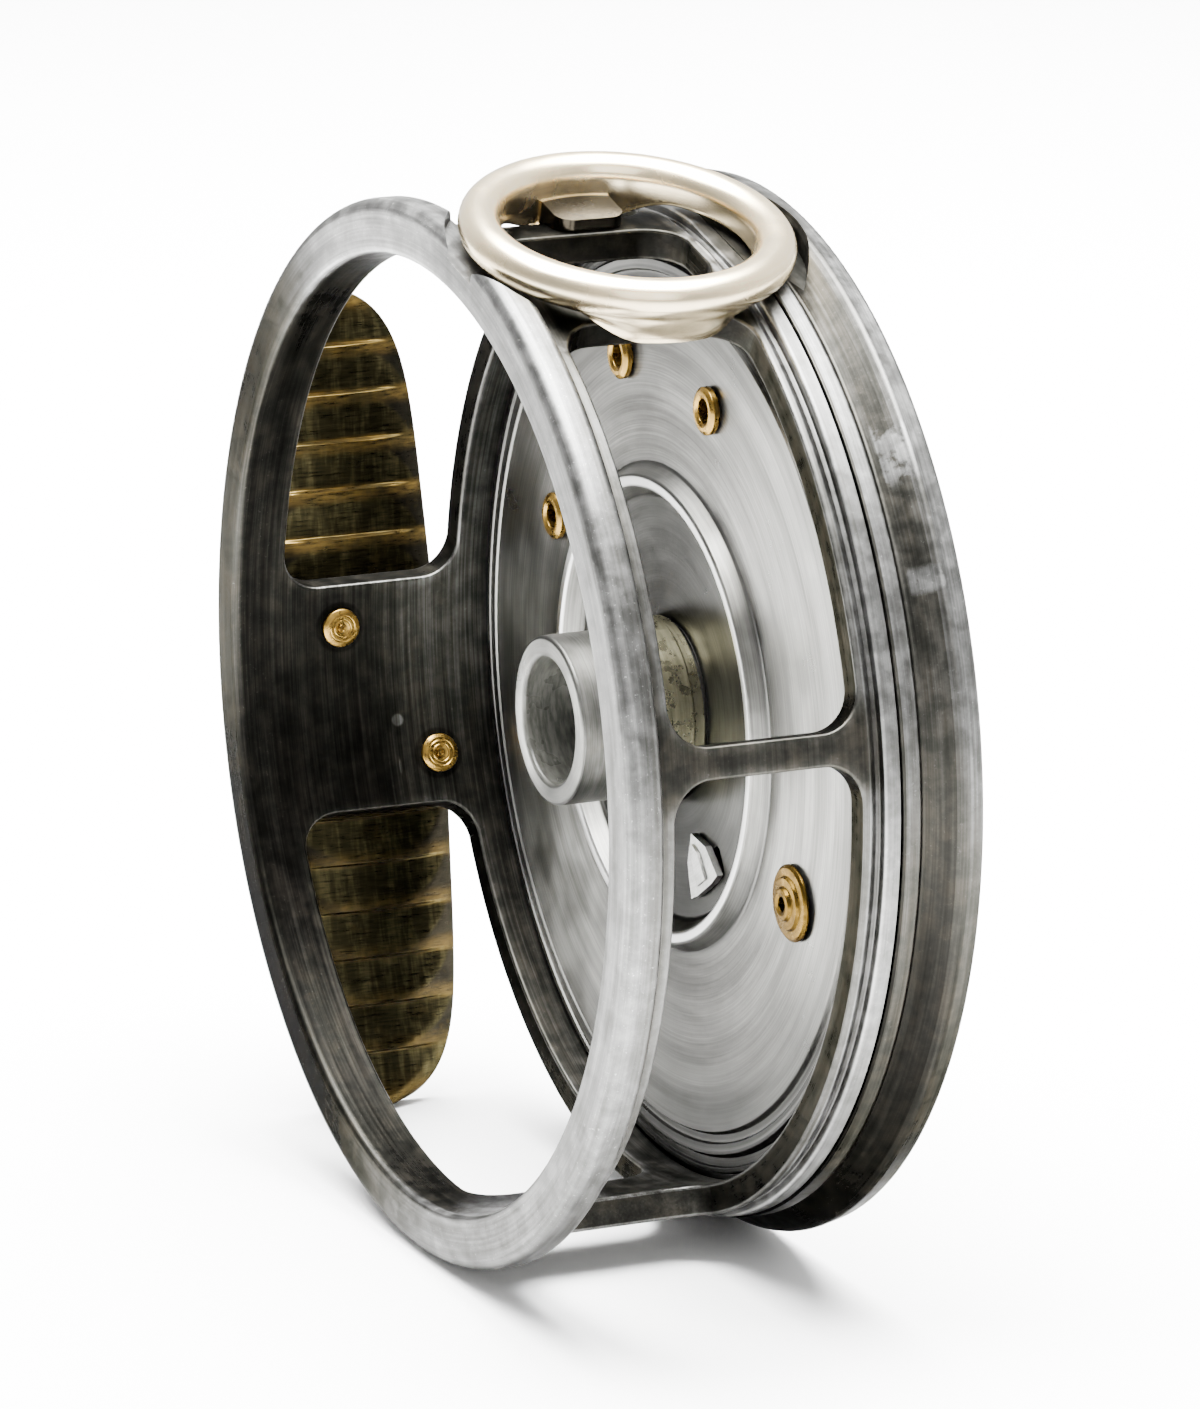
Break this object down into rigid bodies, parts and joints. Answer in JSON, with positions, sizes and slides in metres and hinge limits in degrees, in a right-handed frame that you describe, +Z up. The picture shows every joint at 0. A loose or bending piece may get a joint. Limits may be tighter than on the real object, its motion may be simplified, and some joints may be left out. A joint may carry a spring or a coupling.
{
  "type": "fly reel frame",
  "caption": "Round cage of a vintage fly-fishing reel without its drum: pillared ring, hollow hub, click check with regulator, ring line guide and ribbed brass foot.",
  "frame": {"origin": "where the spindle's axis meets the flat back of the cover", "axes": "+Y along the spindle towards the back of the reel, +Z up as the reel stands on its rim and the lower end of its foot, with the foot at -X"},
  "size_m": [0.0951, 0.0297, 0.0896],
  "materials": {
    "dark_alloy": "worn dark anodised or leaded finish with turning lines",
    "bright_alloy": "bright satin, turned",
    "nickel_silver": "satin polished",
    "aged_brass": "dark patina, bright on the ridges",
    "bright_brass": "turned, lightly tarnished",
    "spring_steel": "hardened and polished",
    "blued_steel": "blued"
  },
  "bodies": {
    "frame": {"cage": "dark_alloy", "back_cover": "dark_alloy", "bearing_plate": "bright_alloy", "hub_tube": "bright_alloy", "hub_collar": "bright_brass", "hub_nut": "bright_brass", "line_guide": "nickel_silver", "line_guide_screw_near": "nickel_silver", "line_guide_screw_far": "nickel_silver", "reel_foot": "aged_brass", "foot_rivet_upper": "bright_brass", "foot_rivet_lower": "bright_brass", "plate_bush_left": "bright_brass", "plate_bush_top": "bright_brass", "plate_bush_right": "bright_brass", "housing_post_left": "bright_brass", "housing_post_top": "bright_brass", "housing_post_right": "bright_brass", "cover_screw_left": "blued_steel", "cover_screw_top": "blued_steel", "cover_screw_right": "blued_steel", "regulator_bush": "bright_brass", "pawl_stud": "spring_steel", "spring_post": "spring_steel"},
    "pawl": {"check_pawl": "spring_steel"},
    "spring": {"check_spring": "blued_steel"},
    "arm": {"tension_arm": "spring_steel"},
    "regulator": {"regulator_button": "bright_brass", "regulator_shaft": "spring_steel", "regulator_cam": "bright_brass"}
  },
  "joints": [
    {"name": "pawl_swing", "type": "hinge", "parent": "frame", "child": "pawl", "pos_m": [0.01198, -0.0046, -0.01845], "axis": [0, 1, 0], "range_deg": [-12, 12], "stiffness_Nm_per_rad": 0.02},
    {"name": "spring_flex", "type": "hinge", "parent": "frame", "child": "spring", "pos_m": [-0.00815, -0.0046, -0.03152], "axis": [0, 1, 0], "range_deg": [-5.2, 5.2], "stiffness_Nm_per_rad": 0.002},
    {"name": "regulator_turn", "type": "hinge", "parent": "frame", "child": "regulator", "pos_m": [0.02452, 0, -0.01006], "axis": [0, 1, 0], "range_deg": [0, 175]},
    {"name": "arm_tension", "type": "hinge", "parent": "frame", "child": "arm", "pos_m": [-0.00815, -0.0046, -0.03152], "axis": [0, 1, 0], "range_deg": [0, 1.7]}
  ],
  "couplings": [
    {"joint": "spring_flex", "follows": "pawl_swing", "ratio": -0.401},
    {"joint": "arm_tension", "follows": "regulator_turn", "ratio": 0.0095}
  ]
}
